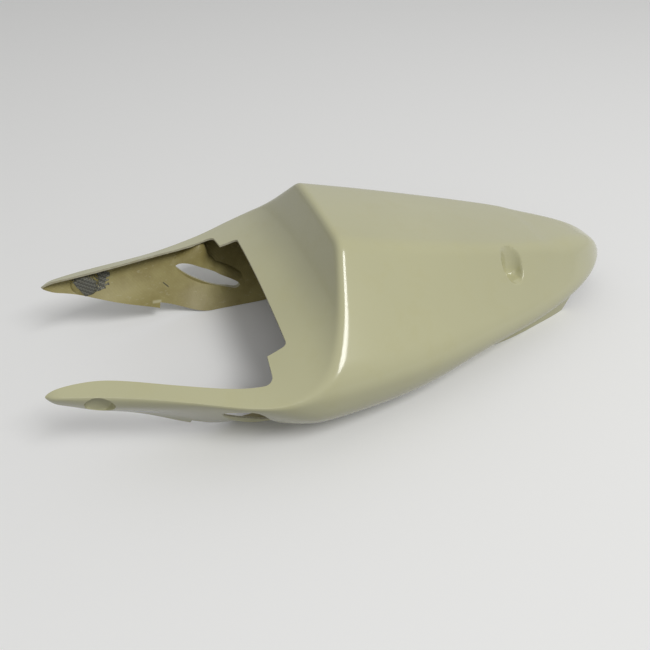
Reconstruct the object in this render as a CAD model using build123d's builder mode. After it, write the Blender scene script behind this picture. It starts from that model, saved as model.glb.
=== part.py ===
"""Seat cowl of a racing motorcycle: one glass-fibre moulding with two long side arms.

Lengths are in millimetres. +X points to the front of the motorcycle, +Y to its left and +Z up, and the
cowl stands on its lower edges at Z = 0. Places along the cowl are distances behind a datum just behind
the arm tips.
"""

import os

from build123d import *

# Overall length, the length that the places below are drawn for, the two ends there, and the laminate
LENGTH = 740.0
DRAWN_LENGTH = 740.0
TIP = -2.0
NOSE = 738.0
WALL = 2.8

# Hump: the centre line falls straight to the tail and is crowned from side to side
RIDGE_BEHIND = 314.0
RIDGE_HEIGHT = 192.0
TOP_FALL = 0.272
TOP_CROWN = 900.0
SHOULDER_EASE = 0.17
WAIST_RISE = 0.09
WAIST_EASE = 0.13
SIDE_REACH = 0.42

# Saddle: side profile under the rider (behind the datum, height), crowned about an axis far below
SADDLE_CROWN = 820.0
SADDLE_AXIS = 98.0 - SADDLE_CROWN
SADDLE_LINE = (
    (-60, 103), (40, 102), (100, 98.5), (160, 95), (206, 97), (243, 106.4),
    (274, 121.4), (294, 143.3), (305, 166), (314, 189), (332, 236),
)
CREASE_RADIUS = 7.0
CREASE_ABOVE = 40.0

# Guide lines in plan: distance behind the datum, half width
WAIST_PLAN = (
    (-60, 78), (22, 109), (126, 142), (187, 168), (245, 184), (300, 181.5), (360, 172),
    (430, 154.5), (510, 128), (597, 97), (645, 76.5), (700, 44.5), (726, 21.5), (738, 5),
)
SHOULDER_PLAN = (
    (-60, 66), (200, 70), (325, 72), (390, 72), (460, 69), (560, 60), (616, 50),
    (684, 30), (724, 11), (738, 3),
)
KNUCKLE_PLAN = (
    (-60, 52), (50, 85), (123, 110), (184, 131), (250, 146), (300, 144.5), (362, 136),
    (435, 117), (505, 98), (600, 72), (650, 60), (700, 35), (738, 4),
)
FOOT_PLAN = (
    (-60, 46), (50, 77), (123, 99), (184, 106), (250, 107), (350, 106), (450, 99),
    (517, 92), (600, 69), (650, 57), (700, 34), (738, 3),
)

# Guide lines from the side: distance behind the datum, height
TOP_SIDE = ((600, 114.2), (684, 89), (717, 70), (733, 52), (738, 46))
WAIST_SIDE = (
    (-60, 97), (20, 93), (126, 86), (187, 80), (245, 77), (300, 73), (360, 67), (430, 59),
    (510, 50), (600, 44), (680, 43), (738, 44),
)
KNUCKLE_SIDE = (
    (-60, 30), (50, 30), (123, 26), (184, 22), (250, 18), (362, 13), (435, 12),
    (505, 20), (600, 29), (738, 34),
)
FOLD_BEHIND = 450.0
FOLD_LENGTH = 130.0
UNDERCUT = 12.0

# Sections of the body; the hollow inside ends one laminate short of the nose
STATIONS = (-50, 20, 90, 160, 225, 290, 350, 410, 470, 530, 585, 630, 670, 700, 720, 732, NOSE)
CURVE_STEPS = (2, 2, 2, 3, 3, 2)
NOSE_STATIONS = ((720, 724, 1.5), (731, 735.5, 0.3))

# Seat opening in plan: the inner edge of an arm, then the step into the narrower rear bay
ARM_EDGE = (
    (-6, 95.5), (0, 92.5), (8, 92), (18, 93), (30, 94), (53, 96), (109, 115), (165, 135), (218, 150),
)
STEP_POINT = (221, 114)
BAY_CORNER = (244, 111)
STEP_RADIUS = 9.0
BAY_RADIUS = 6.0
OPENING_DEPTH = 12.0

# Lower edge from the side: straight under the arm, a small step, then down to the ground line
ARM_LOW = ((TIP, 89), (4, 82.5), (18, 77), (131, 17))
LOW_STEP = (133, 23.5)
GROUND_FROM = 198.0
KEEL_END = 650.0
KEEL_TOP = (672, 29.5)
TAIL_EDGE = 31.5

# Gill slot in each side wall, from the side: upper and lower edge, and the hollow pressed in below it
SLOT_UPPER = ((163, 54), (174, 51), (186, 45.5), (201, 35.5), (216, 26.5), (230, 19.5), (244, 13.5))
SLOT_LOWER = ((163, 54), (168, 47), (179, 38), (190, 31), (203, 24), (217, 18.5), (231, 14.5), (244, 13.5))
GILL_AXIS = ((163, 166, 54), (244, 146, 13.5))
GILL_HALF = 82.0
GILL_RADIUS = 24.0
GILL_TOP = -2.5

# Fixing pockets: the front pair open sideways, the rear pair upward
FRONT_POCKET = (46.5, 76)
FRONT_FLOOR = 104.0
FRONT_RADIUS = 14.0
FRONT_FILL = 30.0
REAR_POCKET = (538.5, 78)
REAR_FLOOR = 95.0
REAR_RADIUS = 16.5

# How far the cutters reach past the body, along it, above it and to each side
ROOM = 60.0
HEADROOM = 140.0
SIDE_ROOM = 300.0


def place(behind):
    """X of a place given by its distance behind the datum."""
    return LENGTH / 2 + (TIP - behind) * LENGTH / DRAWN_LENGTH


def guide(points):
    """A smooth guide line through points given behind the datum."""
    return Spline(*[(place(behind), value) for behind, value in points], mode=Mode.PRIVATE)


def read(line, behind):
    """The value of a guide line at one station."""
    low, high = 0.0, 1.0
    for _ in range(40):
        middle = (low + high) / 2
        if (line @ middle).X > place(behind):
            low = middle
        else:
            high = middle
    return (line @ low).Y


waist_plan = guide(WAIST_PLAN)
shoulder_plan = guide(SHOULDER_PLAN)
knuckle_plan = guide(KNUCKLE_PLAN)
foot_plan = guide(FOOT_PLAN)
top_side = guide(TOP_SIDE)
waist_side = guide(WAIST_SIDE)
knuckle_side = guide(KNUCKLE_SIDE)


def top_height(behind):
    """Height of the centre line of the hump, extended forward over the saddle."""
    if behind > TOP_SIDE[0][0]:
        return read(top_side, behind)
    return RIDGE_HEIGHT - TOP_FALL * (behind - RIDGE_BEHIND)


def half_section(behind):
    """The curves of one half section in its own plane, from the crown down past the foot."""
    top = top_height(behind)
    shoulder = read(shoulder_plan, behind)
    waist = read(waist_plan, behind)
    side = Vector(waist, read(waist_side, behind))
    knuckle = Vector(read(knuckle_plan, behind), read(knuckle_side, behind))
    foot = Vector(read(foot_plan, behind), 0)
    ease = SHOULDER_EASE * shoulder
    edge = Vector(shoulder - ease, top - (shoulder - ease) ** 2 / (2 * TOP_CROWN))
    corner = edge + Vector(ease, -ease * shoulder / TOP_CROWN)
    bend = side + Vector(0, WAIST_RISE * waist)
    facet = (bend - corner).normalized()
    start = corner + facet * ease
    turn = bend - facet * (WAIST_EASE * waist)
    fold = min(1.0, max(0.0, (behind - FOLD_BEHIND) / FOLD_LENGTH))
    lead = ((knuckle - foot).normalized() * (1 - fold) + Vector(1, 0.05) * fold).normalized()
    reach = SIDE_REACH * (side - knuckle).length
    below = foot + (foot - knuckle) * (UNDERCUT / knuckle.Y)
    return (
        Edge.make_bezier((0, top), (edge.X / 2, top), edge),
        Edge.make_bezier(edge, corner, start),
        Edge.make_line(start, turn),
        Edge.make_bezier(turn, bend, side),
        Edge.make_bezier(side, side - Vector(0, reach), knuckle + lead * reach, knuckle),
        Edge.make_line(knuckle, below),
    )


def outline(behind, wall):
    """Points of one whole section, moved inward by the wall, from the right foot over to the left."""
    half = []
    curves = half_section(behind)
    for curve, count in zip(curves, CURVE_STEPS):
        last = 1 if curve is curves[-1] else 0
        for i in range(count + last):
            along = curve % (i / count)
            half.append(curve @ (i / count) + Vector(along.Y, -along.X) * wall)
    half[0] = Vector(0, half[0].Y)
    return [Vector(-p.X, p.Y) for p in reversed(half)] + half[1:]


def pace(points):
    """Parameters of a section curve, shared by every section so that the lofted skin stays light."""
    sums = [0.0]
    for a, b in zip(points[:-1], points[1:]):
        sums.append(sums[-1] + (b - a).length ** 0.5)
    return [total / sums[-1] for total in sums]


SHARED_PACE = pace(outline(STATIONS[len(STATIONS) // 2], 0))


def section(at, behind, wall):
    """The closed face placed at one station, with the outline of the section law behind it."""
    points = outline(behind, wall)
    plane = Plane(origin=(place(at), 0, 0), x_dir=(0, 1, 0), z_dir=(1, 0, 0))
    with BuildSketch(plane) as face:
        with BuildLine():
            add(Edge.make_spline(points, parameters=SHARED_PACE))
            Line(points[-1], points[0])
        make_face()
    return face.sketch


def above_saddle(drop):
    """The space above the saddle, lowered by the drop."""
    line = [(place(behind), height - drop) for behind, height in SADDLE_LINE]
    with BuildPart() as space:
        with BuildSketch(Plane.XZ):
            with BuildLine():
                Spline(*line)
                ceiling = RIDGE_HEIGHT + HEADROOM
                Polyline(line[-1], (line[-1][0], ceiling), (line[0][0], ceiling), line[0])
            make_face()
        revolve(axis=Axis((0, 0, SADDLE_AXIS - drop), (1, 0, 0)), revolution_arc=360)
    return space.part


def pockets(wall):
    """The four fixing pockets, grown by the wall for the inner side of the laminate.

    There the laminate over a front pocket runs up into the saddle.
    """
    with BuildPart() as space:
        start = (place(FRONT_POCKET[0]), FRONT_FLOOR - wall, FRONT_POCKET[1])
        with BuildSketch(Plane(start, x_dir=(1, 0, 0), z_dir=(0, 1, 0))):
            Circle(FRONT_RADIUS + wall)
            if wall:
                Rectangle(2 * (FRONT_RADIUS + wall), FRONT_FILL, align=(Align.CENTER, Align.MAX))
        extrude(amount=ROOM)
        with Locations((place(REAR_POCKET[0]), REAR_POCKET[1], REAR_FLOOR - wall)):
            Cylinder(REAR_RADIUS + wall, ROOM, align=(Align.CENTER, Align.CENTER, Align.MIN))
        mirror(about=Plane.XZ)
    return space.part


def gills(wall):
    """The hollows pressed in below the slots, grown by the wall for the inner side of the laminate."""
    fore, rear = [Vector(place(behind), half, height) for behind, half, height in GILL_AXIS]
    across = (rear - fore).cross(Vector(0, 1, 0)).cross(rear - fore)
    plane = Plane((fore + rear) / 2, x_dir=rear - fore, z_dir=across)
    half, radius = GILL_HALF + wall, GILL_RADIUS + wall
    with BuildPart() as space:
        with BuildSketch(plane):
            with BuildLine():
                ThreePointArc((-half, 0), (0, radius), (half, 0))
                Line((half, 0), (-half, 0))
            make_face()
        revolve(axis=Axis(plane.origin, plane.x_dir))
        with Locations(plane):
            with Locations((0, GILL_TOP, 0)):
                upper = (Align.CENTER, Align.MIN, Align.CENTER)
                Box(2 * half, 2 * radius, 2 * radius, align=upper, mode=Mode.SUBTRACT)
        mirror(about=Plane.XZ)
    return space.part


def creases(shape):
    """The two long edges where the saddle meets the skin."""
    long = LENGTH / 2 - ROOM
    return shape.edges().filter_by(lambda edge: edge.length > long and edge.center().Z > CREASE_ABOVE)


with BuildPart() as seat_cowl:
    loft([section(at, at, 0) for at in STATIONS])

    # Lower edge and tail trimmed from the side
    with BuildSketch(Plane.XZ):
        with BuildLine():
            low = [(place(behind), height) for behind, height in ARM_LOW]
            step = (place(LOW_STEP[0]), LOW_STEP[1])
            ground = (place(GROUND_FROM), 0)
            keel = (place(KEEL_TOP[0]), KEEL_TOP[1])
            end = place(NOSE + ROOM)
            front = place(TIP - ROOM)
            ceiling = RIDGE_HEIGHT + HEADROOM
            Spline(*low[:3])
            Polyline(low[2], low[3], step)
            Spline(step, ground, tangents=((-1, -0.45), (-1, 0)))
            Polyline(ground, (place(KEEL_END), 0), keel, (end, TAIL_EDGE), (end, -ROOM), (front, -ROOM))
            Polyline((front, -ROOM), (front, ceiling), (place(TIP), ceiling), low[0])
        make_face()
    extrude(amount=SIDE_ROOM, both=True, mode=Mode.SUBTRACT)

    # Saddle with its rounded crease, then the fixing pockets
    add(above_saddle(0), mode=Mode.SUBTRACT)
    fillet(creases(seat_cowl), CREASE_RADIUS)
    add(pockets(0), mode=Mode.SUBTRACT)

    # Gill slots through both side walls, with the hollows below them
    add(gills(0), mode=Mode.SUBTRACT)
    with BuildSketch(Plane.XZ):
        with BuildLine():
            Spline(*[(place(behind), height) for behind, height in SLOT_UPPER])
            Spline(*[(place(behind), height) for behind, height in SLOT_LOWER])
        make_face()
    extrude(amount=SIDE_ROOM, both=True, mode=Mode.SUBTRACT)

    # The hollow inside, one wall in from every moulded face
    with BuildPart(mode=Mode.PRIVATE) as hollow:
        body = [section(at, at, WALL) for at in STATIONS if at < NOSE_STATIONS[0][0] - 10]
        nose = [section(at, behind, wall) for at, behind, wall in NOSE_STATIONS]
        loft(body + nose)
        add(above_saddle(WALL), mode=Mode.SUBTRACT)
        fillet(creases(hollow), CREASE_RADIUS - WALL)
        add(pockets(WALL), mode=Mode.SUBTRACT)
        add(gills(WALL), mode=Mode.SUBTRACT)
    add(hollow.part, mode=Mode.SUBTRACT)

    # Seat opening, cut only through the saddle
    with BuildPart(mode=Mode.PRIVATE) as opening:
        with BuildSketch(Plane.XY):
            with BuildLine() as rim:
                edge = [(place(behind), half) for behind, half in ARM_EDGE]
                step = (place(STEP_POINT[0]), STEP_POINT[1])
                bay = (place(BAY_CORNER[0]), BAY_CORNER[1])
                front = place(TIP - ROOM)
                Spline(*edge)
                Polyline(edge[-1], step, bay, (bay[0], 0), (front, 0), (front, edge[0][1]), edge[0])
            make_face()
            fillet(rim.vertices().sort_by_distance(edge[-1])[0], STEP_RADIUS)
            fillet(rim.vertices().sort_by_distance(bay)[0], BAY_RADIUS)
            mirror(about=Plane.XZ)
        extrude(amount=SIDE_ROOM)
        add(above_saddle(OPENING_DEPTH), mode=Mode.INTERSECT)
    add(opening.part, mode=Mode.SUBTRACT)

seat_cowl.part.label = "seat_cowl"
os.makedirs("parts", exist_ok=True)
export_step(seat_cowl.part, "parts/seat_cowl.step")
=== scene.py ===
"""Seat cowl of a racing motorcycle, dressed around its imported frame.

One glass-fibre moulding with two long side arms: glossy gelcoat outside, raw laminate inside, trimmed
edges, and a patch of dark woven cloth laid into each arm behind the front fixing pocket.
"""

import math

import bmesh
import bpy
import numpy as np
from bpy.props import FloatProperty, FloatVectorProperty, IntProperty, PointerProperty
from mathutils import Matrix, Vector


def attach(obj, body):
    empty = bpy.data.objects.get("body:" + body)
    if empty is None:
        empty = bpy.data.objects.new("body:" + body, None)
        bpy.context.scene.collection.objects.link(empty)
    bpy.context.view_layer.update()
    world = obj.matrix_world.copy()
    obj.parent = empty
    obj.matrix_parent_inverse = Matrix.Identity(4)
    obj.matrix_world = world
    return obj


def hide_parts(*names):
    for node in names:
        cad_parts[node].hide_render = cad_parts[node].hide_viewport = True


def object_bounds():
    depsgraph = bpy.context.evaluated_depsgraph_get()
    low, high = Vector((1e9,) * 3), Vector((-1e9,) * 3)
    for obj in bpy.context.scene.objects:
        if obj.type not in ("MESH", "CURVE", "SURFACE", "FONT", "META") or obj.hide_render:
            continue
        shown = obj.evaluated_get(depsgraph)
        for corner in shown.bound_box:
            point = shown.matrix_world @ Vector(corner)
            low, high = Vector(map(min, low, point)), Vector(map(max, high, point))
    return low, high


bl_info = {
    "name": "Seat cowl",
    "version": (1, 0, 0),
    "blender": (4, 5, 0),
    "location": "View3D > Sidebar > Seat cowl",
    "description": "Builds a moulded seat cowl with its laminate, cloth patches and stage",
    "category": "Add Mesh",
}

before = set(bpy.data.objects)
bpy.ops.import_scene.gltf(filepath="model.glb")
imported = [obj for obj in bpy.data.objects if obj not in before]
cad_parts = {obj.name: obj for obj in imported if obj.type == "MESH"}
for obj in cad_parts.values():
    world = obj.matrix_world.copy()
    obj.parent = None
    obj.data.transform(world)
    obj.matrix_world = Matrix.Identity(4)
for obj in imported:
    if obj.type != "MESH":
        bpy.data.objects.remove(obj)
CAD_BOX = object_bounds()
NODE = "seat_cowl"
SIDES = (1, -1)
GELCOAT, LAMINATE, RIM = range(3)

# The body in millimetres. Places along it are distances behind a datum just behind the arm tips.
MM = 0.001
LENGTH = round((CAD_BOX[1][0] - CAD_BOX[0][0]) / MM, 1)
TIP = -2.0
DATUM = LENGTH / 2 + TIP

# Top of the hump: its ridge, its fall to the rear, the radius of its crown, and the softness of its
# shoulders as shares of their half width, with more towards the tail
RIDGE_BEHIND = 314.0
RIDGE_HEIGHT = 192.0
TOP_FALL = 0.272
TOP_CROWN = 900.0
SHOULDER_EASE = 0.17
TAIL_EASE = 0.40
TAIL_SPAN = (570, 715)

# Sides: how high and how softly the facet meets the waist, how full the wall below it is, where that wall
# is flatter, and where the knuckle above the skirt turns into a fold
WAIST_RISE = 0.09
WAIST_EASE = 0.13
SIDE_REACH = 0.42
FLAT_REACH = 0.20
FLAT_SPAN = ((90, 155), (195, 262))
FLAT_TIP = (10, 50)
FOLD_BEHIND = 450.0
FOLD_LENGTH = 130.0
FOLD_LEAD = (1, 0.05)

# Saddle: the radius of its crown, its level in the arms, the outward lean of the arms' flange, and where
# the crease of the arms softens into the ridge
SADDLE_CROWN = 820.0
SADDLE_LEVEL = 98.0
SADDLE_AXIS = SADDLE_LEVEL - SADDLE_CROWN
FLANGE_LEAN = 0.17
FLANGE_SPAN = (125, 190)
CREASE_SPAN = (190, 300)

# Guide lines as (behind, height) for the saddle and the sides, and (behind, half width) for the plans.
# They start ahead of the tips, so that the skins run past the cut there.
PLAN_START = -60
SADDLE_LINE = (
    (PLAN_START, 92), (-12, 94.5), (0, 97.6), (6, 99.9), (20, 101.7), (40, 102), (100, 98.5), (160, 95),
    (206, 97), (243, 106.4), (274, 121.4), (294, 143.3), (305, 166), (314, 189), (332, 236),
)
WAIST_PLAN = (
    (PLAN_START, 78), (-12, 92), (0, 98.7), (5, 102.9), (12, 106), (22, 109), (126, 142), (187, 168),
    (245, 184), (300, 181.5), (360, 172), (430, 154.5), (510, 128), (597, 97), (645, 75.8), (700, 42.4),
    (726, 18.5), (738, 3.5),
)
SHOULDER_PLAN = (
    (PLAN_START, 66), (200, 70), (325, 72), (390, 72), (460, 69), (560, 60), (616, 50), (684, 30), (724, 11),
    (738, 3),
)
KNUCKLE_PLAN = (
    (PLAN_START, 52), (50, 85), (123, 110), (184, 131), (250, 146), (300, 144.5), (362, 136), (435, 117),
    (505, 98), (600, 72), (650, 60), (700, 35), (738, 4),
)
FOOT_PLAN = (
    (PLAN_START, 46), (50, 77), (123, 99), (184, 106), (250, 107), (350, 106), (450, 99), (517, 93),
    (560, 86), (600, 75.5), (650, 60), (700, 34), (738, 3),
)
TOP_SIDE = ((600, 114.2), (684, 89), (717, 70), (733, 52), (738, 46))
WAIST_SIDE = (
    (PLAN_START, 97), (20, 93), (126, 86), (187, 80), (245, 77), (300, 73), (360, 67), (430, 59), (510, 50),
    (600, 44), (680, 43), (738, 44),
)
KNUCKLE_SIDE = (
    (PLAN_START, 30), (50, 30), (123, 26), (184, 22), (250, 18), (362, 13), (435, 12), (505, 20), (600, 29),
    (738, 34),
)

# Seat opening in plan, and the least gap between the arm's points and the knee where it turns into the bay
ARM_EDGE = (
    (-6, 100.5), (-1, 97), (2, 95.6), (6, 95.2), (12, 95), (24, 95), (40, 96.2), (53, 98.2), (70, 102.7),
    (109, 116.3), (165, 135.8), (218, 150),
)
STEP_POINT = (221, 114)
BAY_CORNER = (244, 111)
STEP_RADIUS = 9.0
BAY_RADIUS = 6.0
KNEE_GAP = 0.5
OPENING_LOW = 80.0

# Lower edge from the side
ARM_FRONT = -0.8
ARM_LOW = ((ARM_FRONT, 91), (3, 86), (10, 80.3), (20, 75.6), (45, 63.5), (75, 48))
ARM_LOW_END = (131, 18)
LOW_STEP = (133, 24.3)
STEP_FALL = 0.45
GROUND_FROM = 198.0
KEEL_END = 650.0
KEEL_TOP = (672, 29.5)
TAIL_EDGE = 31.5

# Gill slots from the side, and the spindle that presses the hollow round each: its axis, its half length,
# its radius, and how much higher than round its upper half is along the body
SLOT_UPPER = (
    (162.5, 55), (168, 57.3), (176, 57.3), (184, 55.4), (192, 51.3), (200, 46.5), (210, 40), (220, 32.3),
    (230, 25.6), (238, 20), (245.5, 13.5),
)
SLOT_LOWER = (
    (162.5, 55), (166, 50.8), (172, 45), (180, 38.4), (188, 33), (198, 26.5), (208, 21), (220, 16.4),
    (232, 13.2), (240, 12), (245.5, 13.5),
)
GILL_AXIS = ((162.5, 159, 47), (244, 149, 4.5))
GILL_HALF = 109.0
GILL_RADIUS = 19.0
GILL_LIFT = (
    (80, 1.0), (138, 1.0), (154, 1.05), (163, 1.4), (169, 1.8), (175, 2.2), (180, 2.35), (186, 2.1),
    (197, 1.35), (209, 1.0), (330, 1.0),
)

# Fixing pockets: the front ones from the side, the rear ones from above
FRONT_POCKET = (46.5, 76)
FRONT_FLOOR = 104.0
FRONT_RADIUS = 12.6
FRONT_FOOT = 2.5
REAR_POCKET = (539.5, 80)
REAR_FLOOR = 93.0
REAR_RADIUS = 12.4
REAR_FOOT = 5.0

# Least softness of the crease and of the pocket rims, for the inner skin, which is tighter by one wall
LEAST_CREASE = 1.5
LEAST_RIM = 3.0

# How far the cutters reach to be clear of the body, and how far the skins run on below the ground
ACROSS_REACH = 320.0
POCKET_REACH = 60.0
FRONT_REACH = 80.0
REAR_REACH = 20.0
DOWN_REACH = 80.0
UP_REACH = 200.0
OUTER_UNDERCUT = 12.0
INNER_UNDERCUT = 17.0

# Fineness of the skins: (from, to, spacing) along the body, and columns on each curve of a half section
OUTER_STATIONS = (
    (-9, 24, 1.5), (24, 156, 4), (156, 252, 2), (252, 345, 2), (345, 513, 5), (513, 565, 1.0), (565, 690, 4),
    (690, 738, 1.6),
)
INNER_STATIONS = (
    (-18, 24, 4), (24, 156, 6), (156, 252, 3), (252, 345, 3), (345, 510, 8), (510, 568, 2), (568, 690, 6),
    (690, 727, 3),
)
OUTER_COLUMNS = (8, 8, 56, 12, 30, 4)
INNER_COLUMNS = (5, 5, 26, 8, 20, 3)

# Fineness of the guide lines and the cutters, in points, rings or steps
GUIDE_POINTS = 2000
EDGE_POINTS = 90
KNEE_LEAD_POINTS = 8
TIP_POINTS = 24
SWEEP_POINTS = 16
SLOT_POINTS = 30
ARC_STEPS = 8
GILL_RINGS = 83
GILL_ROUND = 72
FOOT_RINGS = 8
POCKET_ROUND = 96

# Cut to the saddle: how far behind the saddle line it goes on, how many rounds it takes, and the test step,
# the longest move and the least slope of a round
CUT_PAST = 12.0
CUT_ROUNDS = 5
CUT_TEST = 0.05
CUT_MOVE = 5.0
CUT_LEAST_SLOPE = 0.05

# Welding of the cut shell in metres, and the volume of a sound one in cubic metres
WELD = 0.00002
LEAST_EDGE = 0.00001
LEAST_VOLUME = 0.0005
MOST_VOLUME = 0.0012

# Marks inside the right arm: the ends as (x, z) and the width in metres
SCRATCH = ((0.2263, 0.0446), (0.2195, 0.0361))
SCRATCH_WIDTH = 0.0010
SCRATCH_COLOUR = (0.03, 0.03, 0.025)
SPOT = ((0.2452, 0.0286), (0.2324, 0.0252))
SPOT_WIDTH = 0.0026
SPOT_COLOUR = (0.66, 0.62, 0.42)

# Weave of the laminate, in radians for each metre, and the colours of stray fibres
WEAVE_PACE = 2600.0
FLECK_COLOUR = (0.62, 0.58, 0.42)
HAIR_COLOUR = (0.16, 0.16, 0.15)

# Cloth: how far its ends lean for one unit of height, its twill in tows, the lift and the half sizes of a pad
# in tows, how finely a pad is drawn, and how far the arm is looked for in metres
FRONT_LEAN = 0.43
REAR_LEAN = 0.42
TWILL_REPEAT = 4.0
TWILL_OVER = 1.5
PAD_LIFT = 0.06
PAD_HALVES = (0.98, 0.58, 0.20)
PAD_SEGMENTS = 8
PAD_RINGS = 4
RAY_REACH = 0.4
LEAST_CLOTH_FACES = 500

# Stage in metres, with the camera's place and axes
FLOOR_HALF = 9.0
FLOOR_DROP = 0.0004
KEY_PLACE = (-1.3, 2.4, 3.6)
KEY_TARGET = (0, 0, 0.08)
KEY_SIDE = 1.7
FILL_PLACE = (1.6, 2.4, 2.0)
FILL_TARGET = (0.1, 0, 0.08)
FILL_SIDE = 1.4
CAMERA_PLACE = (0.2606, 0.610, 0.552)
CAMERA_RIGHT = (-0.9414, 0.3378, 0.0)
CAMERA_DOWN = (0.2151, 0.5994, -0.7711)
CAMERA_AHEAD = (-0.2605, -0.7258, -0.6368)
CAMERA_NEAR = 0.01
LENS_MM = 36.0
SENSOR_MM = 36.0


class CowlSizes(bpy.types.PropertyGroup):
    """Sizes of the moulding that a user would change."""

    wall: FloatProperty(
        name="Wall", description="Thickness of the laminate", default=2.8 * MM, unit="LENGTH"
    )
    crease: FloatProperty(
        name="Crease", description="Softness of the crease along the arms", default=3.4 * MM, unit="LENGTH"
    )
    ridge: FloatProperty(
        name="Ridge", description="Softness of the ridge above the bum stop", default=8.0 * MM, unit="LENGTH"
    )
    pocket_rim: FloatProperty(
        name="Pocket rim", description="Softness of the rear pocket rims", default=9.0 * MM, unit="LENGTH"
    )
    front_draft: FloatProperty(
        name="Front pocket draft", description="Lean of the front pocket walls", default=math.radians(13),
        subtype="ANGLE",
    )
    rear_draft: FloatProperty(
        name="Rear pocket draft", description="Lean of the rear pocket walls", default=math.radians(11),
        subtype="ANGLE",
    )
    sharp: FloatProperty(
        name="Sharp edges", description="Angle above which an edge stays sharp", default=math.radians(38),
        subtype="ANGLE",
    )


class CowlFinish(bpy.types.PropertyGroup):
    """Colours and gloss of the moulding."""

    gelcoat: FloatVectorProperty(
        name="Gelcoat", description="Colour of the outside", default=(0.50, 0.487, 0.295), subtype="COLOR"
    )
    laminate: FloatVectorProperty(
        name="Laminate", description="Colour of the raw inside", default=(0.34, 0.295, 0.115), subtype="COLOR"
    )
    rim: FloatVectorProperty(
        name="Trimmed edge", description="Colour of the cut laminate", default=(0.55, 0.52, 0.38),
        subtype="COLOR",
    )
    cloth: FloatVectorProperty(
        name="Cloth", description="Colour of the dark woven cloth", default=(0.12, 0.12, 0.10),
        subtype="COLOR",
    )
    gloss: FloatProperty(
        name="Gelcoat roughness", description="Roughness of the outside", default=0.16, min=0.02, max=1
    )


class PatchSizes(bpy.types.PropertyGroup):
    """Sizes of the woven cloth inside each arm."""

    start: FloatProperty(
        name="Start", description="Place of its front end", default=34 * MM, unit="LENGTH"
    )
    length: FloatProperty(
        name="Length", description="Length along the arm", default=52 * MM, unit="LENGTH"
    )
    low: FloatProperty(
        name="Low edge", description="Height of its lower edge", default=64.5 * MM, unit="LENGTH"
    )
    height: FloatProperty(
        name="Height", description="Height of the cloth", default=27 * MM, unit="LENGTH"
    )
    tow: FloatProperty(
        name="Tow", description="Width of one tow of the weave", default=2.0 * MM, unit="LENGTH"
    )
    ragged: FloatProperty(
        name="Ragged", description="Depth of the frayed end", default=6 * MM, unit="LENGTH"
    )
    seed: IntProperty(name="Seed", description="Seed of the frayed end", default=4)


class StageLook(bpy.types.PropertyGroup):
    """Floor, lamps and surround."""

    floor: FloatVectorProperty(
        name="Floor", description="Colour of the floor", default=(0.90, 0.90, 0.89), subtype="COLOR"
    )
    backdrop: FloatVectorProperty(
        name="Backdrop", description="Colour behind the floor", default=(0.62, 0.62, 0.61), subtype="COLOR"
    )
    bounce: FloatProperty(
        name="Bounce", description="Share of the floor's colour that lights the object", default=0.20
    )
    key: FloatProperty(name="Key", description="Power of the large lamp", default=100.0, unit="POWER")
    fill: FloatProperty(name="Fill", description="Power of the fill lamp", default=6.0, unit="POWER")
    sky: FloatProperty(name="Surround", description="Strength of the even light", default=0.40)


class SeatCowl(bpy.types.PropertyGroup):
    """Everything that the panel shows."""

    sizes: PointerProperty(type=CowlSizes)
    finish: PointerProperty(type=CowlFinish)
    patch: PointerProperty(type=PatchSizes)
    stage: PointerProperty(type=StageLook)


class Tone:
    """A socket of a node tree that takes part in plain arithmetic."""

    def __init__(self, tree, socket=None):
        self.tree = tree
        self.socket = socket

    def node(self, kind, settings=None, inputs=None, output=0):
        """Adds a node: its type, its settings, the values or links of its sockets, and the output to use."""
        made = self.tree.nodes.new(kind)
        for name, value in (settings or {}).items():
            setattr(made, name, value)
        for name, value in (inputs or {}).items():
            if isinstance(value, Tone):
                self.tree.links.new(value.socket, made.inputs[name])
            else:
                made.inputs[name].default_value = value
        return Tone(self.tree, made.outputs[output] if made.outputs else None)

    def maths(self, operation, *values):
        """A Math node on the values given, or else on this one."""
        return self.node("ShaderNodeMath", {"operation": operation}, dict(enumerate(values or (self,))))

    def __add__(self, other):
        return self.maths("ADD", self, other)

    __radd__ = __add__

    def __mul__(self, other):
        return self.maths("MULTIPLY", self, other)

    __rmul__ = __mul__

    def __sub__(self, other):
        return self.maths("SUBTRACT", self, other)

    def __rsub__(self, other):
        return self.maths("SUBTRACT", other, self)

    def __truediv__(self, other):
        return self.maths("DIVIDE", self, other)

    def __rtruediv__(self, other):
        return self.maths("DIVIDE", other, self)

    def __lt__(self, other):
        return self.maths("LESS_THAN", self, other)

    def __gt__(self, other):
        return self.maths("GREATER_THAN", self, other)

    def part(self, axis):
        """One coordinate of a vector."""
        return self.node("ShaderNodeSeparateXYZ", None, {0: self}, axis)

    def step(self, low, high):
        """0 below low, 1 above high and smooth between."""
        return self.node(
            "ShaderNodeMapRange", {"interpolation_type": "SMOOTHSTEP"},
            {"Value": self, "From Min": low, "From Max": high},
        )

    def mix(self, first, second):
        """From the first colour to the second, by this value."""
        return self.node("ShaderNodeMix", {"data_type": "RGBA"}, {0: self, 6: first, 7: second}, output=2)


def hermite(t, start, leave, end, land):
    """A cubic from start to end that sets off along leave and comes in along land, at the steps t."""
    ahead = start * (1 + 2 * t) * (1 - t) ** 2 + leave * t * (1 - t) ** 2
    return ahead + end * t * t * (3 - 2 * t) + land * t * t * (t - 1)


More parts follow.
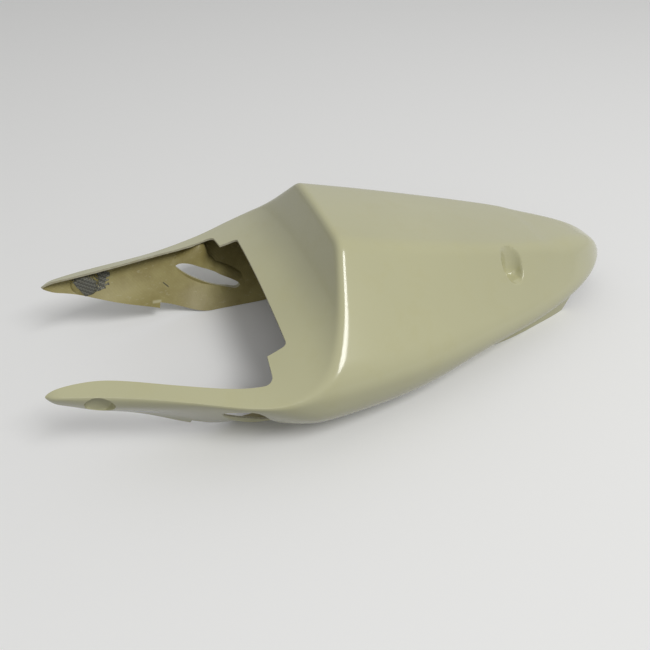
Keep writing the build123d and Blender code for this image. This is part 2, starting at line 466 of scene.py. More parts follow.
def spline(pace, points, at):
    """A smooth curve through points; each end slope follows the four nearest points."""
    count = len(points)
    near = min(4, count)
    step = np.diff(pace)[:, None]
    rise = np.diff(points, axis=0) / step
    rows = np.eye(count)
    values = np.zeros_like(points)
    values[0] = np.polyfit(pace[:near] - pace[0], points[:near], near - 1)[-2]
    values[-1] = np.polyfit(pace[-near:] - pace[-1], points[-near:], near - 1)[-2]
    for i in range(1, count - 1):
        before, after = step[i - 1, 0], step[i, 0]
        rows[i, i - 1 : i + 2] = after, 2 * (before + after), before
        values[i] = 3 * (after * rise[i - 1] + before * rise[i])
    slope = np.linalg.solve(rows, values)
    k = np.clip(np.searchsorted(pace, at, side="right") - 1, 0, count - 2)
    span = step[k]
    t = (at - pace[k])[:, None] / span
    return hermite(t, points[k], slope[k] * span, points[k + 1], slope[k + 1] * span)


def smooth_line(points, count):
    """Points along a smooth curve through a few given ones."""
    knots = np.array(points, float)
    pace = np.append(0.0, np.cumsum(np.linalg.norm(np.diff(knots, axis=0), axis=1)))
    return spline(pace, knots, np.linspace(0, pace[-1], count))


def guide(points):
    """A guide line as a function of the distance behind the datum."""
    line = smooth_line(points, GUIDE_POINTS)
    return lambda behind: np.interp(behind, line[:, 0], line[:, 1])


saddle_line = guide(SADDLE_LINE)
waist_plan = guide(WAIST_PLAN)
shoulder_plan = guide(SHOULDER_PLAN)
knuckle_plan = guide(KNUCKLE_PLAN)
foot_plan = guide(FOOT_PLAN)
top_side = guide(TOP_SIDE)
waist_side = guide(WAIST_SIDE)
knuckle_side = guide(KNUCKLE_SIDE)
arm_edge = guide(ARM_EDGE)


def stations(spans):
    """Places along the body, with the last place of the last span."""
    runs = [np.linspace(low, high, max(2, round((high - low) / gap) + 1))[:-1] for low, high, gap in spans]
    return np.append(np.concatenate(runs), spans[-1][1])


def unit(vector):
    """Vectors scaled to a length of one."""
    return vector / np.maximum(np.linalg.norm(vector, axis=-1, keepdims=True), 1e-9)


def soft_max(first, second, ease):
    """The larger of two fields, rounded where they cross."""
    share = np.clip(0.5 + 0.5 * (first - second) / ease, 0, 1)
    return second + (first - second) * share + ease * share * (1 - share)


def soft_min(first, second, ease):
    """The smaller of two fields, rounded where they cross."""
    return -soft_max(-first, -second, ease)


def smooth_step(value, low, high):
    """0 below low, 1 above high and smooth between."""
    t = np.clip((value - low) / (high - low), 0, 1)
    return t * t * (3 - 2 * t)


def bezier(t, *points):
    """One curve of every station: (stations, 2) control points, drawn at the steps t."""
    level = [p[:, None, :] + 0 * t[None, :, None] for p in points]
    while len(level) > 1:
        level = [a + (b - a) * t[None, :, None] for a, b in zip(level, level[1:])]
    return level[0]


def pair(half, height):
    """One point (half width, height) for every station."""
    return np.stack(np.broadcast_arrays(half, height), -1).astype(float)


def half_sections(behind, columns, wall, undercut):
    """Half sections of the body before the saddle is cut: (stations, columns, (half width, height))."""
    straight = RIDGE_HEIGHT - TOP_FALL * (behind - RIDGE_BEHIND)
    top = np.where(behind > TOP_SIDE[0][0], top_side(behind), straight)
    shoulder = shoulder_plan(behind)
    waist = waist_plan(behind)
    ease = (SHOULDER_EASE + TAIL_EASE * smooth_step(behind, *TAIL_SPAN)) * shoulder
    edge = pair(shoulder - ease, top - (shoulder - ease) ** 2 / (2 * TOP_CROWN))
    corner = edge + pair(ease, -ease * shoulder / TOP_CROWN)
    side = pair(waist, waist_side(behind))
    bend = side + pair(0.0, WAIST_RISE * waist)
    facet = unit(bend - corner)
    start = corner + facet * ease[:, None]
    turn = bend - facet * (WAIST_EASE * waist)[:, None]
    knuckle = pair(knuckle_plan(behind), knuckle_side(behind))
    foot = pair(foot_plan(behind), 0.0)
    fold = np.clip((behind - FOLD_BEHIND) / FOLD_LENGTH, 0, 1)[:, None]
    lead = unit(unit(knuckle - foot) * (1 - fold) + np.array(FOLD_LEAD) * fold)
    flat = smooth_step(behind, *FLAT_SPAN[0]) - smooth_step(behind, *FLAT_SPAN[1])
    flat = flat + 1 - smooth_step(behind, *FLAT_TIP)
    bulge = SIDE_REACH + (FLAT_REACH - SIDE_REACH) * flat
    reach = (bulge * np.linalg.norm(side - knuckle, axis=1))[:, None]
    below = foot + (foot - knuckle) * (undercut / knuckle[:, 1:])
    curves = (
        (pair(0.0, top), pair(edge[:, 0] / 2, top), edge),
        (edge, corner, start),
        (start, turn),
        (turn, bend, side),
        (side, side - np.array((0, 1)) * reach, knuckle + lead * reach, knuckle),
        (knuckle, below),
    )
    drawn = []
    for count, points in zip(columns, curves):
        last = 1 if points is curves[-1] else 0
        drawn.append(bezier(np.arange(count + last) / count, *points))
    line = np.concatenate(drawn, axis=1)
    along = unit(np.gradient(line, axis=1))
    line = line + wall * np.stack((along[..., 1], -along[..., 0]), -1)
    line[:, 0, 0] = 0
    return line


def skin_gap(points, line):
    """Distance of points from one section curve, positive outside it."""
    a, run = line[:-1], np.diff(line, axis=0)
    off = points[:, None] - a[None]
    t = np.clip((off * run).sum(-1) / np.maximum((run * run).sum(-1), 1e-9), 0, 1)
    gap = off - run * t[..., None]
    far = np.hypot(gap[..., 0], gap[..., 1])
    k = far.argmin(1)
    row = np.arange(len(points))
    turn = run[k, 0] * gap[row, k, 1] - run[k, 1] * gap[row, k, 0]
    return np.where(turn > 0, far[row, k], -far[row, k])


def saddle_across(half, behind, drop):
    """The saddle across one station: its height at each half width, and the height that is one unit away."""
    rise = saddle_line(behind) - SADDLE_AXIS
    slope = saddle_line(behind + 0.5) - saddle_line(behind - 0.5)
    tilt = FLANGE_LEAN * (1 - smooth_step(behind, *FLANGE_SPAN))
    middle = (arm_edge(behind) + waist_plan(behind)) / 2
    crown = np.sqrt(np.maximum(rise**2 - half**2, 1.0))
    height = SADDLE_AXIS - drop + crown + tilt * (middle - half)
    return height, np.sqrt(1 + slope**2 + (half / crown + tilt) ** 2)


def beyond_cut(points, curve, behind, drop, ease):
    """How far points lie outside one section curve or above the saddle, rounded where the two meet."""
    height, steep = saddle_across(points[:, 0], behind, drop)
    return soft_max(skin_gap(points, curve), (points[:, 1] - height) / steep, ease)


def cut_to_saddle(behind, line, drop, ease):
    """Half sections cut down to the saddle, with the crease and the ridge rounded."""
    cut = line.copy()
    for i in np.nonzero(behind < SADDLE_LINE[-1][0] + CUT_PAST)[0]:
        station = (line[i], behind[i], drop, ease[i])
        points = cut[i]
        points[:, 1] = np.minimum(points[:, 1], saddle_across(points[:, 0], behind[i], drop)[0])
        for _ in range(CUT_ROUNDS):
            value = beyond_cut(points, *station)
            across = (beyond_cut(points + (CUT_TEST, 0), *station) - value) / CUT_TEST
            up = (beyond_cut(points + (0, CUT_TEST), *station) - value) / CUT_TEST
            across[0] = 0
            move = np.clip(value / np.maximum(across**2 + up**2, CUT_LEAST_SLOPE), -CUT_MOVE, CUT_MOVE)
            points -= move[:, None] * np.stack((across, up), -1)
    return cut


def wider(wall, draft):
    """How much wider a drafted pocket is when it is drawn one wall further in."""
    return wall * (1 - math.sin(draft)) / math.cos(draft)


def press_pockets(behind, skin, wall, ease, draft):
    """Half sections with the soft rear fixing pockets pressed in."""
    half, height = skin[..., 0], skin[..., 1]
    far = np.hypot(behind[:, None] - REAR_POCKET[0], half - REAR_POCKET[1])
    outside = soft_max(far - REAR_RADIUS - wider(wall, draft), np.zeros_like(far), REAR_FOOT)
    bowl = REAR_FLOOR - wall + outside / math.tan(draft)
    return np.stack((half, soft_min(height, bowl, ease)), -1)


def skin_grid(spans, columns, wall, undercut, sizes):
    """One moulded skin as (stations, columns, 3) in metres, from the right foot over to the left."""
    behind = stations(spans)
    skin = half_sections(behind, columns, wall, undercut)
    ease = sizes.crease + (sizes.ridge - sizes.crease) * smooth_step(behind, *CREASE_SPAN)
    skin = cut_to_saddle(behind, skin, wall, np.maximum(LEAST_CREASE, ease / MM - wall))
    rim = max(LEAST_RIM, sizes.pocket_rim / MM - wall)
    skin = press_pockets(behind, skin, wall, rim, sizes.rear_draft)
    ring = np.concatenate((skin[:, ::-1] * (-1, 1), skin[:, 1:]), axis=1)
    x = np.broadcast_to((DATUM - behind)[:, None, None], (*ring.shape[:2], 1))
    return np.concatenate((x, ring), axis=2) * MM


def add_mesh(name, points, faces, materials=(), slot=0):
    """A new object from points and faces, with every face in one material slot."""
    mesh = bpy.data.meshes.new(name)
    mesh.from_pydata([tuple(p) for p in points], [], faces)
    for material in materials:
        mesh.materials.append(material)
    mesh.polygons.foreach_set("material_index", np.full(len(mesh.polygons), slot, np.int32))
    work = bmesh.new()
    work.from_mesh(mesh)
    bmesh.ops.recalc_face_normals(work, faces=work.faces)
    work.to_mesh(mesh)
    work.free()
    made = bpy.data.objects.new(name, mesh)
    bpy.context.scene.collection.objects.link(made)
    return made


def closed_skin(name, grid, materials, slot):
    """A closed body from rings of points, with a fan at each end."""
    count, wide = grid.shape[:2]
    points = np.concatenate((grid.reshape(-1, 3), grid[0].mean(0)[None], grid[-1].mean(0)[None]))
    faces = []
    for i in range(count - 1):
        for j in range(wide):
            k = (j + 1) % wide
            faces.append((i * wide + j, i * wide + k, (i + 1) * wide + k, (i + 1) * wide + j))
    for j in range(wide):
        k = (j + 1) % wide
        faces.append((count * wide, j, k))
        faces.append((count * wide + 1, (count - 1) * wide + j, (count - 1) * wide + k))
    return add_mesh(name, points, faces, materials, slot)


def prism(name, outline, axis, low, high, materials):
    """A cutter that leaves trimmed edges: an outline given behind the datum, drawn out along Y or Z."""
    x = [(DATUM - p[0]) * MM for p in outline]
    other = [p[1] * MM for p in outline]
    points = []
    for level in (low * MM, high * MM):
        for a, b in zip(x, other):
            points.append((a, level, b) if axis == "Y" else (a, b, level))
    count = len(outline)
    faces = [tuple(range(count)), tuple(range(count, 2 * count))]
    for j in range(count):
        k = (j + 1) % count
        faces.append((j, k, count + k, count + j))
    return add_mesh(name, points, faces, materials, RIM)


def rounded(before, corner, after, radius):
    """Points of the arc that rounds one corner of an outline."""
    before, corner, after = (np.array(p, float) for p in (before, corner, after))
    back, on = unit(before - corner), unit(after - corner)
    half = math.acos(float(np.clip(back @ on, -1, 1))) / 2
    reach = radius / math.tan(half)
    middle = corner + unit(back + on) * radius / math.sin(half)
    start, end = corner + back * reach, corner + on * reach
    a = math.atan2(*(start - middle)[::-1])
    b = math.atan2(*(end - middle)[::-1])
    turn = (b - a + math.pi) % (2 * math.pi) - math.pi
    angles = [a + turn * i / ARC_STEPS for i in range(ARC_STEPS + 1)]
    return [tuple(middle + radius * np.array((math.cos(t), math.sin(t)))) for t in angles]


def opening_outline():
    """The seat opening in plan: along one arm, into the rear bay and back along the other arm."""
    arm = [tuple(p) for p in smooth_line(ARM_EDGE, EDGE_POINTS)]
    knee = rounded(arm[-KNEE_LEAD_POINTS], arm[-1], STEP_POINT, STEP_RADIUS)
    arm = [p for p in arm if p[0] < knee[0][0] - KNEE_GAP]
    bay = rounded(STEP_POINT, BAY_CORNER, (BAY_CORNER[0], 0), BAY_RADIUS)
    side = [(PLAN_START, ARM_EDGE[0][1]), *arm, *knee, STEP_POINT, *bay]
    return side + [(p[0], -p[1]) for p in reversed(side)]


def lower_outline():
    """Everything under the trimmed lower edge and in front of the tips, from the side."""
    tip = [tuple(p) for p in smooth_line(ARM_LOW, TIP_POINTS)]
    step, ground = np.array(LOW_STEP, float), np.array((GROUND_FROM, 0.0))
    reach = np.linalg.norm(ground - step)
    leave, land = np.array((1, -STEP_FALL)) * reach, np.array((1.0, 0.0)) * reach
    sweep = hermite(np.linspace(0, 1, SWEEP_POINTS)[:, None], step, leave, ground, land)
    rear = LENGTH + REAR_REACH
    keel = [(KEEL_END, 0), KEEL_TOP, (rear, TAIL_EDGE)]
    round_the_front = [
        (rear, -DOWN_REACH), (-FRONT_REACH, -DOWN_REACH), (-FRONT_REACH, UP_REACH), (ARM_FRONT, UP_REACH),
    ]
    return tip + [ARM_LOW_END] + [tuple(p) for p in sweep] + keel + round_the_front


def slot_outline():
    """One gill slot from the side, between its upper and its lower edge."""
    upper = [tuple(p) for p in smooth_line(SLOT_UPPER, SLOT_POINTS)]
    lower = [tuple(p) for p in smooth_line(SLOT_LOWER, SLOT_POINTS)]
    return upper + lower[-2:0:-1]


def gill(name, side, wall, materials, slot):
    """A cutter: a long spindle that presses the hollow of one gill slot into a side wall."""
    fore, rear = [np.array((DATUM - p[0], side * p[1], p[2]), float) for p in GILL_AXIS]
    along = unit(rear - fore)
    out = unit(np.array((0.0, side, 0.0)) - along * (along[1] * side))
    down = np.cross(along, out)
    down = down * -np.sign(down[2])
    half, radius = GILL_HALF + wall, GILL_RADIUS + wall
    bow = (half**2 + radius**2) / (2 * radius)
    rings = []
    turn = np.linspace(0, 2 * math.pi, GILL_ROUND, endpoint=False)[:, None]
    for t in np.linspace(-half, half, GILL_RINGS)[1:-1]:
        here = math.sqrt(bow**2 - t * t) - bow + radius
        middle = (fore + rear) / 2 + along * t
        lift = np.where(np.cos(turn) < 0, np.interp(DATUM - middle[0], *zip(*GILL_LIFT)), 1.0)
        rings.append(middle + down * here * lift * np.cos(turn) + out * here * np.sin(turn))
    return closed_skin(name, np.array(rings) * MM, materials, slot)


def front_pocket(name, side, wall, draft, materials, slot):
    """A cutter: one front fixing pocket, a flat-floored cone with a soft foot."""
    soft = FRONT_FOOT + wall
    start = FRONT_RADIUS + wider(wall, draft) - soft * math.tan(math.pi / 4 - draft / 2)
    turns = np.linspace(0, math.pi / 2 - draft, FOOT_RINGS)
    deep = FRONT_FLOOR - wall + soft * (1 - np.cos(turns))
    wide = start + soft * np.sin(turns)
    deep = np.append(deep, deep[-1] + POCKET_REACH)
    wide = np.append(wide, wide[-1] + POCKET_REACH * math.tan(draft))
    turn = np.linspace(0, 2 * math.pi, POCKET_ROUND, endpoint=False)
    rings = []
    for y, radius in zip(deep, wide):
        x = DATUM - FRONT_POCKET[0] + radius * np.cos(turn)
        rings.append(np.stack((x, np.full_like(x, side * y), FRONT_POCKET[1] + radius * np.sin(turn)), -1))
    return closed_skin(name, np.array(rings) * MM, materials, slot)


def bake(piece):
    """Keeps what a piece's modifiers make as its plain mesh."""
    ready = piece.evaluated_get(bpy.context.evaluated_depsgraph_get())
    mesh = bpy.data.meshes.new_from_object(ready)
    piece.modifiers.clear()
    piece.data = mesh


def cut_out(body, cutters):
    """Cuts the cutters out of a body in order, and removes them."""
    for cutter in cutters:
        cut = body.modifiers.new(cutter.name, "BOOLEAN")
        cut.operation = "DIFFERENCE"
        cut.solver = "MANIFOLD"
        cut.object = cutter
    bake(body)
    for cutter in cutters:
        bpy.data.objects.remove(cutter)


def weld(piece):
    """Merges the doubles that cutting leaves, and gives the volume in cubic metres."""
    work = bmesh.new()
    work.from_mesh(piece.data)
    bmesh.ops.remove_doubles(work, verts=work.verts, dist=WELD)
    bmesh.ops.dissolve_degenerate(work, edges=work.edges, dist=LEAST_EDGE)
    volume = work.calc_volume()
    work.to_mesh(piece.data)
    work.free()
    return volume


def new_material(name):
    """An empty material with its surface shader: (material, coordinates, shader node)."""
    made = bpy.data.materials.new(name)
    made.use_nodes = True
    tree = made.node_tree
    tree.nodes.clear()
    here = Tone(tree)
    shader = here.node("ShaderNodeBsdfPrincipled")
    here.node("ShaderNodeOutputMaterial", None, {"Surface": shader})
    coords = here.node("ShaderNodeTexCoord", None, None, "Object")
    return made, coords, shader.socket.node


def noise(coords, scale, detail=2.0, rough=0.5, stretch=None):
    """A cloud over the piece, one blob about 1 / scale metres across."""
    if stretch:
        coords = coords.node("ShaderNodeMapping", None, {"Vector": coords, "Scale": stretch})
    return coords.node(
        "ShaderNodeTexNoise", None, {"Vector": coords, "Scale": scale, "Detail": detail, "Roughness": rough}
    )


def connect(shader, name, tone):
    """Links a value to one of the shader's sockets."""
    tone.tree.links.new(tone.socket, shader.inputs[name])


def add_bump(shader, height, strength, depth):
    """Fine relief in the shader, about as many metres deep as depth says."""
    bump = height.node("ShaderNodeBump", None, {"Height": height, "Strength": strength, "Distance": depth})
    connect(shader, "Normal", bump)


def colour(values, factor=1.0):
    """A colour for a socket, with all its parts or each one scaled."""
    return (*np.minimum(1.0, np.multiply(tuple(values), factor)), 1.0)


def gelcoat_material(finish):
    """Cream gelcoat: glossy, a little wavy from the mould, cloudy in tone and duller along the skirt."""
    made, coords, shader = new_material("cream_gelcoat")
    cream = finish.gelcoat
    broad = noise(coords, scale=5.0)
    cloud = noise(coords, scale=34.0, detail=4.0, rough=0.6)
    skirt = 1 - coords.part("Z").step(0.002, 0.030)
    base = broad.step(0.35, 0.65).mix(colour(cream, 0.97), colour(cream, 1.02))
    base = (cloud.step(0.45, 0.75) * 0.35).mix(base, colour(cream, (0.97, 0.95, 0.86)))
    connect(shader, "Base Color", base)
    connect(shader, "Roughness", finish.gloss + cloud * 0.08 + skirt * 0.14)
    ripple = noise(coords, scale=13.0, detail=1.0)
    peel = noise(coords, scale=160.0, detail=1.0)
    add_bump(shader, ripple + peel * 0.008, strength=0.35, depth=0.0022)
    shader.inputs["Coat Weight"].default_value = 0.35
    shader.inputs["Coat Roughness"].default_value = 0.07
    shader.inputs["IOR"].default_value = 1.5
    return made


def mark(x, z, ends, width):
    """1 along a short line on a side wall, 0 beside it, from the side coordinates in metres."""
    start, end = ends
    run = (end[0] - start[0], end[1] - start[1])
    size = math.hypot(*run)
    ahead, up = x - start[0], z - start[1]
    along = ahead * (run[0] / size**2) + up * (run[1] / size**2)
    off = (ahead * (-run[1] / size) + up * (run[0] / size)).maths("ABSOLUTE")
    return (1 - off.step(width * 0.3, width)) * along.step(-0.05, 0.15) * (1 - along.step(0.80, 1.05))


def laminate_material(finish):
    """Raw glass laminate: yellow resin over a plain weave, blotched, with a scratch and a pale spot."""
    made, coords, shader = new_material("raw_laminate")
    resin = finish.laminate
    x, y, z = (coords.part(axis) for axis in "XYZ")
    wander = (noise(coords, scale=30.0) - 0.5) * 0.004
    warp = ((x + wander) * WEAVE_PACE).maths("SINE")
    weft = ((z + y * 0.7 + wander) * WEAVE_PACE).maths("SINE")
    weave = warp * weft * 0.5 + 0.5
    blotch = noise(coords, scale=22.0, detail=5.0, rough=0.62)
    pool = noise(coords, scale=9.0, detail=3.0, rough=0.55)
    fleck = noise(coords, scale=300.0, detail=3.0, rough=0.6, stretch=(0.35, 1.0, 1.0))
    base = blotch.step(0.36, 0.66).mix(colour(resin, (0.80, 0.76, 0.66)), colour(resin, 1.06))
    base = (pool.step(0.50, 0.72) * 0.55).mix(base, colour(resin, (1.22, 1.22, 1.36)))
    base = (weave * 0.16).mix(base, colour(resin, 0.62))
    base = (fleck.step(0.60, 0.72) * 0.25).mix(base, colour(FLECK_COLOUR))
    right_arm = y < 0
    scratch = mark(x, z, SCRATCH, SCRATCH_WIDTH) * right_arm
    base = (scratch * 0.85).mix(base, colour(SCRATCH_COLOUR))
    spot = mark(x, z, SPOT, SPOT_WIDTH) * right_arm
    base = (spot * 0.55).mix(base, colour(SPOT_COLOUR))
    connect(shader, "Base Color", base)
    connect(shader, "Roughness", 0.40 + blotch * 0.25 - pool.step(0.5, 0.7) * 0.10)
    add_bump(shader, weave * 0.22 + blotch * 0.8 + fleck * 0.12, strength=0.55, depth=0.0008)
    return made


def rim_material(finish):
    """Cut laminate: pale, dry and streaked along its plies."""
    made, coords, shader = new_material("trimmed_edge")
    plies = noise(coords, scale=700.0, detail=3.0, rough=0.6, stretch=(0.15, 0.6, 1.0))
    dust = noise(coords, scale=80.0, detail=3.0)
    base = plies.step(0.35, 0.7).mix(colour(finish.rim, 0.82), colour(finish.rim, 1.12))
    base = (dust.step(0.5, 0.75) * 0.4).mix(base, colour(finish.laminate, 1.1))
    connect(shader, "Base Color", base)
    connect(shader, "Roughness", 0.62 + dust * 0.2)
    add_bump(shader, plies, strength=0.5, depth=0.0004)
    return made


def cloth_material(finish):
    """Dark woven tows in clear resin; tows that run across catch less light."""
    made, coords, shader = new_material("dark_woven_cloth")
    across = coords.node("ShaderNodeAttribute", {"attribute_name": "across"}, None, "Fac")
    hairs = noise(coords, scale=1500.0, stretch=(0.2, 1.0, 1.0))
    wet = noise(coords, scale=70.0, detail=4.0, rough=0.6)
    # Painted shade: tows that run across get a darker copy of the cloth colour, standing in for the light
    # they catch less; their roughness differs as well
    base = across.mix(colour(finish.cloth, 1.5), colour(finish.cloth, 0.8))
    base = (hairs.step(0.5, 0.8) * 0.35).mix(base, colour(HAIR_COLOUR))
    base = (wet.step(0.50, 0.75) * 0.30).mix(base, colour(finish.laminate, 0.35))
    connect(shader, "Base Color", base)
    connect(shader, "Roughness", 0.30 + across * 0.14 + wet * 0.2)
    add_bump(shader, hairs, strength=0.3, depth=0.0003)
    return made


def seen(tone):
    """1 where the stage is seen, plainly or in a reflection, and 0 where it only lights the object."""
    path = tone.node("ShaderNodeLightPath").socket.node
    names = ("Is Camera Ray", "Is Glossy Ray", "Is Transmission Ray")
    plain, glossy, through = (Tone(tone.tree, path.outputs[name]) for name in names)
    return plain.maths("MAXIMUM", plain, glossy.maths("MAXIMUM", glossy, through))


def floor_material(look):
    """Pale matt floor that lights the object less than it shows."""
    made, coords, shader = new_material("pale_floor")
    connect(shader, "Base Color", seen(coords).mix(colour(look.floor, look.bounce), colour(look.floor)))
    shader.inputs["Roughness"].default_value = 0.9
    shader.inputs["Specular IOR Level"].default_value = 0.1
    return made


def cloth_tree():
    """A patch of twill: a net of points thrown sideways onto a wall, with a pad where two tows cross."""
    tree = bpy.data.node_groups.new("woven_cloth", "GeometryNodeTree")
    tree.interface.new_socket("Geometry", in_out="OUTPUT", socket_type="NodeSocketGeometry")
    tree.interface.new_socket("Geometry", in_out="INPUT", socket_type="NodeSocketGeometry")
    tree.interface.new_socket("Shell", in_out="INPUT", socket_type="NodeSocketObject")
    tree.interface.new_socket("Cloth", in_out="INPUT", socket_type="NodeSocketMaterial")
    for name in ("Side", "Front", "Length", "Low", "Height", "Tow", "Ragged"):
        tree.interface.new_socket(name, in_out="INPUT", socket_type="NodeSocketFloat")
    tree.interface.new_socket("Seed", in_out="INPUT", socket_type="NodeSocketInt")
    here = Tone(tree)
    given = here.node("NodeGroupInput").socket.node

    def take(name):
        return Tone(tree, given.outputs[name])

    tow, length, height = take("Tow"), take("Length"), take("Height")

    # The net, its twill and its frayed end, still flat
    net = here.node("GeometryNodeMeshGrid", None, {
        "Size X": length, "Size Y": height, "Vertices X": length / tow + 1, "Vertices Y": height / tow + 1,
    })
    place = here.node("GeometryNodeInputPosition")
    along = place.part("X") + length * 0.5
    up = place.part("Y") + height * 0.5
    row = (up / tow).maths("ROUND")
    cell = (along / tow).maths("ROUND") + row
    turn = cell.maths("FLOORED_MODULO", cell, TWILL_REPEAT) < TWILL_OVER
    frayed = here.node("FunctionNodeRandomValue", {"data_type": "FLOAT"}, {
        "Max": take("Ragged"), "ID": row, "Seed": take("Seed"),
    }, 1)
    behind = along + (height - up) * FRONT_LEAN
    back = length - (height - up) * REAR_LEAN - frayed

    # Each point's place on the wall, kept with the point before it moves there
    start = here.node("ShaderNodeCombineXYZ", None, {
        "X": take("Front") - behind, "Y": 0.0, "Z": take("Low") + up,
    })
    toward = here.node("ShaderNodeCombineXYZ", None, {"Y": take("Side")})
    wall = here.node("GeometryNodeObjectInfo", None, {"Object": take("Shell")}, "Geometry")
    ray = here.node("GeometryNodeRaycast", None, {
        "Target Geometry": wall, "Source Position": start, "Ray Direction": toward, "Ray Length": RAY_REACH,
    })
    outs = ray.socket.node.outputs
    hit, landed, normal = (Tone(tree, outs[name]) for name in ("Is Hit", "Hit Position", "Hit Normal"))
    fields = (("across", "FLOAT", turn), ("out", "FLOAT_VECTOR", normal), ("on", "FLOAT_VECTOR", landed))
    kept = {}
    for name, kind, value in fields:
        net = here.node("GeometryNodeStoreNamedAttribute", {"data_type": kind}, {
            "Geometry": net, "Name": name, "Value": value,
        })
        kept[name] = here.node("GeometryNodeInputNamedAttribute", {"data_type": kind}, {"Name": name})
    spare = 1 - hit * (behind < back)
    net = here.node("GeometryNodeDeleteGeometry", None, {"Geometry": net, "Selection": spare})
    lift = here.node("ShaderNodeVectorMath", {"operation": "SCALE"}, {
        0: kept["out"], "Scale": tow * PAD_LIFT,
    })
    net = here.node("GeometryNodeSetPosition", None, {
        "Geometry": net, "Position": kept["on"], "Offset": lift,
    })

    # One pad for each point, laid along the tow that is on top there
    lay = here.node("ShaderNodeCombineXYZ", None, {"X": 1 - kept["across"], "Z": kept["across"]})
    lie = here.node("FunctionNodeAxesToRotation", {"primary_axis": "Z", "secondary_axis": "X"}, {
        0: kept["out"], 1: lay,
    })
    pad = here.node("GeometryNodeMeshUVSphere", None, {
        "Radius": 1.0, "Segments": PAD_SEGMENTS, "Rings": PAD_RINGS,
    })
    pad = here.node("GeometryNodeSetShadeSmooth", None, {0: pad})
    size = here.node("ShaderNodeCombineXYZ", None, {
        axis: tow * share for axis, share in zip("XYZ", PAD_HALVES)
    })
    pads = here.node("GeometryNodeInstanceOnPoints", None, {
        "Points": net, "Instance": pad, "Rotation": lie, "Scale": size,
    })
    whole = here.node("GeometryNodeRealizeInstances", None, {0: pads})
    for name in ("out", "on"):
        whole = here.node("GeometryNodeRemoveAttribute", None, {"Geometry": whole, "Name": name})
    dressed = here.node("GeometryNodeSetMaterial", None, {"Geometry": whole, "Material": take("Cloth")})
    here.node("NodeGroupOutput", None, {0: dressed})
    return tree


def add_lamp(name, place, target, side, power):
    """A soft square lamp aimed at a point."""
    light = bpy.data.lights.new(name, "AREA")
    light.shape = "RECTANGLE"
    light.size, light.size_y = side, side
    light.energy = power
    lamp = bpy.data.objects.new(name, light)
    lamp.location = place
    lamp.rotation_mode = "QUATERNION"
    lamp.rotation_quaternion = (Vector(target) - Vector(place)).to_track_quat("-Z", "Y")
    bpy.context.scene.collection.objects.link(lamp)


def add_surround(scene, look):
    """Even light from all round, with a pale backdrop where the camera sees it."""
    world = bpy.data.worlds.new("surround")
    world.use_nodes = True
    back = world.node_tree.nodes["Background"]
    level = seen(Tone(world.node_tree)).mix(colour((look.sky,) * 3), colour(look.backdrop))
    connect(back, "Color", level)
    scene.world = world


def add_camera(scene):
    """The camera at the photograph's viewing angle."""
    lens = bpy.data.cameras.new("camera")
    lens.lens = LENS_MM
    lens.sensor_width = SENSOR_MM
    lens.clip_start = CAMERA_NEAR
    camera = bpy.data.objects.new("camera", lens)
    turn = Matrix((Vector(CAMERA_RIGHT), -Vector(CAMERA_DOWN), -Vector(CAMERA_AHEAD))).transposed()
    camera.matrix_world = Matrix.Translation(CAMERA_PLACE) @ turn.to_4x4()
    scene.collection.objects.link(camera)
    scene.camera = camera


class COWL_OT_shell(bpy.types.Operator):
    """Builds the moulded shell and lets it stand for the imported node"""

    bl_idname = "cowl.shell"
    bl_label = "Moulded shell"

    def execute(self, context):
        sizes, finish = context.scene.seat_cowl.sizes, context.scene.seat_cowl.finish
        materials = [gelcoat_material(finish), laminate_material(finish), rim_material(finish)]
        wall, draft = sizes.wall / MM, sizes.front_draft
        outer = skin_grid(OUTER_STATIONS, OUTER_COLUMNS, 0.0, OUTER_UNDERCUT, sizes)
        outer[..., 1:] *= np.minimum(1.0, np.array(CAD_BOX[1])[1:] / outer[..., 1:].max((0, 1)))
        inner = skin_grid(INNER_STATIONS, INNER_COLUMNS, wall, INNER_UNDERCUT, sizes)
        shell = closed_skin("cowl_shell", outer, materials, GELCOAT)
        hollow = closed_skin("hollow", inner, materials, LAMINATE)
        cut_out(hollow, [
            *[gill("gill_back", side, wall, materials, LAMINATE) for side in SIDES],
            *[front_pocket("pocket_back", side, wall, draft, materials, LAMINATE) for side in SIDES],
        ])
        cut_out(shell, [
            *[gill("gill_face", side, 0.0, materials, GELCOAT) for side in SIDES],
            *[front_pocket("pocket_face", side, 0.0, draft, materials, GELCOAT) for side in SIDES],
            hollow,
            prism("under_edge", lower_outline(), "Y", -ACROSS_REACH, ACROSS_REACH, materials),
            prism("seat_opening", opening_outline(), "Z", OPENING_LOW, ACROSS_REACH, materials),
            prism("gill_slots", slot_outline(), "Y", -ACROSS_REACH, ACROSS_REACH, materials),
        ])
        if not LEAST_VOLUME < weld(shell) < MOST_VOLUME:
            raise RuntimeError("the shell came out empty or solid")
        shell.data.shade_smooth()
        shell.data.set_sharp_from_angle(angle=sizes.sharp)
        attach(shell, "root")
        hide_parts(NODE)
        return {"FINISHED"}


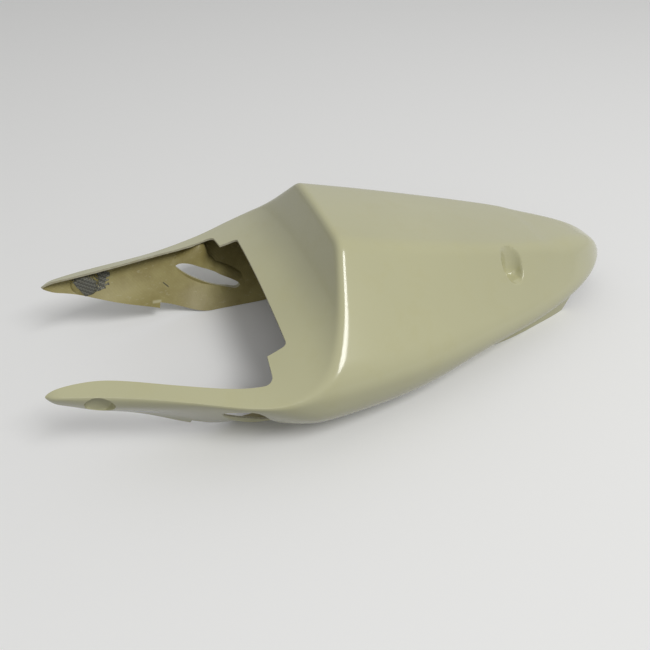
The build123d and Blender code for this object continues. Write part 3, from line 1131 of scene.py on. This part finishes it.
class COWL_OT_patches(bpy.types.Operator):
    """Lays a patch of dark woven cloth onto the inside of each arm"""

    bl_idname = "cowl.patches"
    bl_label = "Cloth patches"

    def execute(self, context):
        sizes, finish = context.scene.seat_cowl.patch, context.scene.seat_cowl.finish
        shell = bpy.data.objects["cowl_shell"]
        cloth = cloth_material(finish)
        tree = cloth_tree()
        for name, side in zip(("left_cloth", "right_cloth"), SIDES):
            patch = add_mesh(name, [(0, 0, 0)], [])
            weave = patch.modifiers.new("weave", "NODES")
            weave.node_group = tree
            given = {
                "Shell": shell, "Cloth": cloth, "Side": float(side), "Front": DATUM * MM - sizes.start,
                "Length": sizes.length, "Low": sizes.low, "Height": sizes.height, "Tow": sizes.tow,
                "Ragged": sizes.ragged, "Seed": sizes.seed,
            }
            for socket in tree.interface.items_tree:
                if socket.name in given:
                    weave[socket.identifier] = given[socket.name]
            bake(patch)
            if len(patch.data.polygons) < LEAST_CLOTH_FACES:
                raise RuntimeError("the cloth did not reach the arm")
            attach(patch, "root")
        return {"FINISHED"}


class COWL_OT_stage(bpy.types.Operator):
    """Sets the floor, the lamps and the camera"""

    bl_idname = "cowl.stage"
    bl_label = "Stage"

    def execute(self, context):
        look = context.scene.seat_cowl.stage
        corners = [(FLOOR_HALF * x, FLOOR_HALF * y, 0) for x, y in ((-1, -1), (1, -1), (1, 1), (-1, 1))]
        floor = add_mesh("floor", corners, [(0, 1, 2, 3)], [floor_material(look)])
        floor.location.z = -FLOOR_DROP
        add_lamp("key", KEY_PLACE, KEY_TARGET, KEY_SIDE, look.key)
        add_lamp("fill", FILL_PLACE, FILL_TARGET, FILL_SIDE, look.fill)
        add_surround(context.scene, look)
        context.scene.view_settings.view_transform = "Standard"
        add_camera(context.scene)
        return {"FINISHED"}


class COWL_PT_panel(bpy.types.Panel):
    """The cowl's sizes, finishes and steps"""

    bl_label = "Seat cowl"
    bl_idname = "COWL_PT_panel"
    bl_space_type = "VIEW_3D"
    bl_region_type = "UI"
    bl_category = "Seat cowl"

    def draw(self, context):
        cowl = context.scene.seat_cowl
        for group in (cowl.sizes, cowl.finish, cowl.patch, cowl.stage):
            box = self.layout.box()
            for name in group.__annotations__:
                box.prop(group, name)
        for step in (COWL_OT_shell, COWL_OT_patches, COWL_OT_stage):
            self.layout.operator(step.bl_idname)


CLASSES = (
    CowlSizes, CowlFinish, PatchSizes, StageLook, SeatCowl, COWL_OT_shell, COWL_OT_patches, COWL_OT_stage,
    COWL_PT_panel,
)


def register():
    for kind in CLASSES:
        bpy.utils.register_class(kind)
    bpy.types.Scene.seat_cowl = PointerProperty(type=SeatCowl)


def unregister():
    del bpy.types.Scene.seat_cowl
    for kind in reversed(CLASSES):
        bpy.utils.unregister_class(kind)


def main():
    register()
    bpy.ops.cowl.shell()
    bpy.ops.cowl.patches()
    bpy.ops.cowl.stage()


if __name__ == "__main__":
    main()
